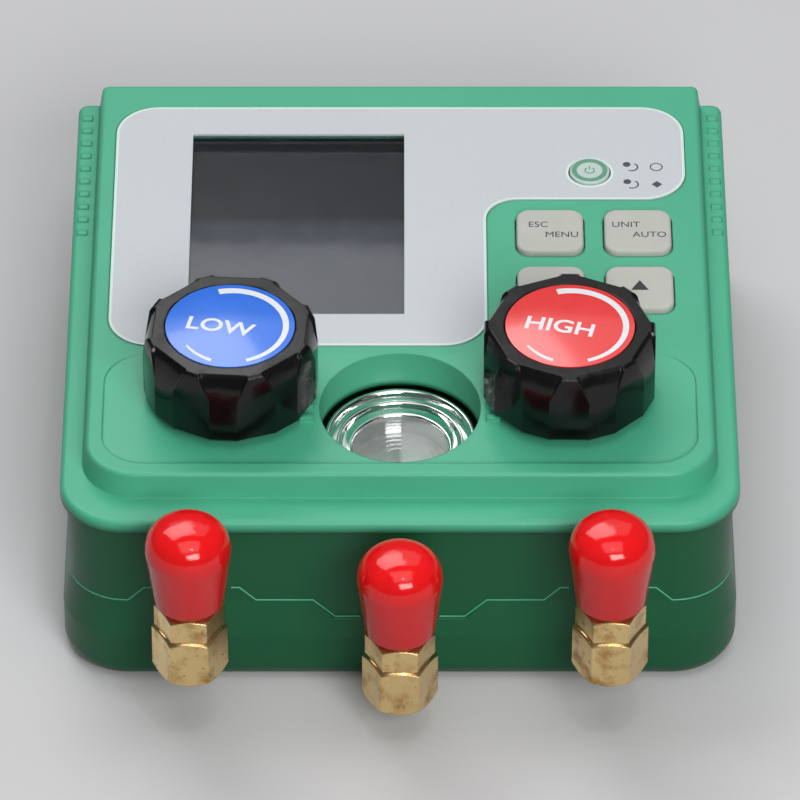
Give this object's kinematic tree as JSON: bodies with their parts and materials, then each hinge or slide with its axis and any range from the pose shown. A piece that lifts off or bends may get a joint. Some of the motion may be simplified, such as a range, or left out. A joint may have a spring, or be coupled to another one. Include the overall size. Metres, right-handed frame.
{
  "type": "digital refrigerant gauge",
  "caption": "Handheld digital manifold gauge with display, keys, hand valves, sight glass and capped flare ports",
  "frame": {"origin": "under the middle of the whole instrument, on the surface that it lies on", "axes": "+Z out of the face, -Y towards the ports, +X to the right of someone reading the display"},
  "size_m": [0.124, 0.1454, 0.0597],
  "materials": {
    "green_plastic": "satin moulded plastic",
    "green_plastic_back": "satin moulded plastic",
    "label_film": "fine matt printed film",
    "window": "clear gloss",
    "lcd": "dark grey display glass",
    "white_plastic": "matt",
    "board": "solder mask",
    "black_plastic": "matt",
    "key_rubber": "matt silicone",
    "power_key_plastic": "satin",
    "knob_black": "polished",
    "insert_blue": "gloss print",
    "insert_red": "gloss print",
    "cap_rubber": "glossy dip-moulded rubber",
    "brass": "turned",
    "block_aluminium": "machined",
    "steel": "zinc plated",
    "chrome": "polished",
    "clear_glass": "polished",
    "seal_rubber": "matt",
    "seat_rubber": "matt",
    "lead_rubber": "matt",
    "cell_jacket": "gloss jacket"
  },
  "bodies": {
    "housing": {"front_housing": "green_plastic", "rear_housing": "green_plastic_back", "housing_screws": "steel", "face_label": "label_film", "display_window": "window", "lcd_panel": "lcd", "lcd_frame": "white_plastic", "circuit_board": "board", "board_screws": "steel", "board_parts": "black_plastic", "key_switches": "black_plastic", "keypad_mat": "key_rubber", "manifold_block": "block_aluminium", "gallery_plugs": "brass", "block_screws": "steel", "sight_glass_reflector": "chrome", "sight_glass_seal": "seal_rubber", "sight_glass": "clear_glass", "sight_glass_ring": "chrome", "sensor_leads": "lead_rubber", "battery_cells": "cell_jacket", "battery_springs": "steel", "battery_contacts": "steel", "hook_pin": "steel", "low_bonnet": "brass", "low_pressure_sensor": "steel", "high_bonnet": "brass", "high_pressure_sensor": "steel", "low_port_elbow": "brass", "low_flare_fitting": "brass", "centre_port_elbow": "brass", "centre_flare_fitting": "brass", "high_port_elbow": "brass", "high_flare_fitting": "brass"},
    "low_valve_piston": {"low_piston": "brass", "low_seat_disc": "seat_rubber"},
    "low_valve_knob": {"low_stem": "brass", "low_stem_o_ring": "seal_rubber", "low_knob": "knob_black", "low_knob_insert": "insert_blue", "low_knob_screw": "steel"},
    "high_valve_piston": {"high_piston": "brass", "high_seat_disc": "seat_rubber"},
    "high_valve_knob": {"high_stem": "brass", "high_stem_o_ring": "seal_rubber", "high_knob": "knob_black", "high_knob_insert": "insert_red", "high_knob_screw": "steel"},
    "power_key": {"power_key": "power_key_plastic"},
    "menu_key": {"menu_key": "key_rubber"},
    "unit_key": {"unit_key": "key_rubber"},
    "down_key": {"down_key": "key_rubber"},
    "up_key": {"up_key": "key_rubber"},
    "low_port_cap": {"low_port_cap": "cap_rubber"},
    "centre_port_cap": {"centre_port_cap": "cap_rubber"},
    "high_port_cap": {"high_port_cap": "cap_rubber"},
    "battery_door": {"battery_door": "green_plastic_back"},
    "hanging_hook": {"hanging_hook": "steel"}
  },
  "joints": [
    {"name": "low_valve_lift", "type": "slide", "parent": "housing", "child": "low_valve_piston", "axis": [0, 0, 1], "range_m": [0, 0.0025]},
    {"name": "low_knob_turn", "type": "hinge", "parent": "low_valve_piston", "child": "low_valve_knob", "pos_m": [-0.031, -0.01995, 0.03], "axis": [0, 0, 1], "range_deg": [0, 900]},
    {"name": "high_valve_lift", "type": "slide", "parent": "housing", "child": "high_valve_piston", "axis": [0, 0, 1], "range_m": [0, 0.0025]},
    {"name": "high_knob_turn", "type": "hinge", "parent": "high_valve_piston", "child": "high_valve_knob", "pos_m": [0.031, -0.01995, 0.03], "axis": [0, 0, 1], "range_deg": [0, 900]},
    {"name": "power_key_press", "type": "slide", "parent": "housing", "child": "power_key", "axis": [0, 0, -1], "range_m": [0, 0.0008], "stiffness_N_per_m": 1500, "springref_m": -0.0004},
    {"name": "menu_key_press", "type": "slide", "parent": "housing", "child": "menu_key", "axis": [0, 0, -1], "range_m": [0, 0.0008], "stiffness_N_per_m": 1500, "springref_m": -0.0004},
    {"name": "unit_key_press", "type": "slide", "parent": "housing", "child": "unit_key", "axis": [0, 0, -1], "range_m": [0, 0.0008], "stiffness_N_per_m": 1500, "springref_m": -0.0004},
    {"name": "down_key_press", "type": "slide", "parent": "housing", "child": "down_key", "axis": [0, 0, -1], "range_m": [0, 0.0008], "stiffness_N_per_m": 1500, "springref_m": -0.0004},
    {"name": "up_key_press", "type": "slide", "parent": "housing", "child": "up_key", "axis": [0, 0, -1], "range_m": [0, 0.0008], "stiffness_N_per_m": 1500, "springref_m": -0.0004},
    {"name": "low_cap_pull", "type": "slide", "parent": "housing", "child": "low_port_cap", "axis": [0, 0, 1], "range_m": [0, 0.03]},
    {"name": "centre_cap_pull", "type": "slide", "parent": "housing", "child": "centre_port_cap", "axis": [0, 0, 1], "range_m": [0, 0.03]},
    {"name": "high_cap_pull", "type": "slide", "parent": "housing", "child": "high_port_cap", "axis": [0, 0, 1], "range_m": [0, 0.03]},
    {"name": "battery_door_lift", "type": "slide", "parent": "housing", "child": "battery_door", "axis": [0, 0, -1], "range_m": [0, 0.03]},
    {"name": "hook_swing", "type": "hinge", "parent": "housing", "child": "hanging_hook", "pos_m": [0, 0.06665, 0.0027], "axis": [1, 0, 0], "range_deg": [0, 180]}
  ],
  "couplings": [
    {"joint": "low_knob_turn", "follows": "low_valve_lift", "rad_per_m": 6283},
    {"joint": "high_knob_turn", "follows": "high_valve_lift", "rad_per_m": 6283}
  ]
}
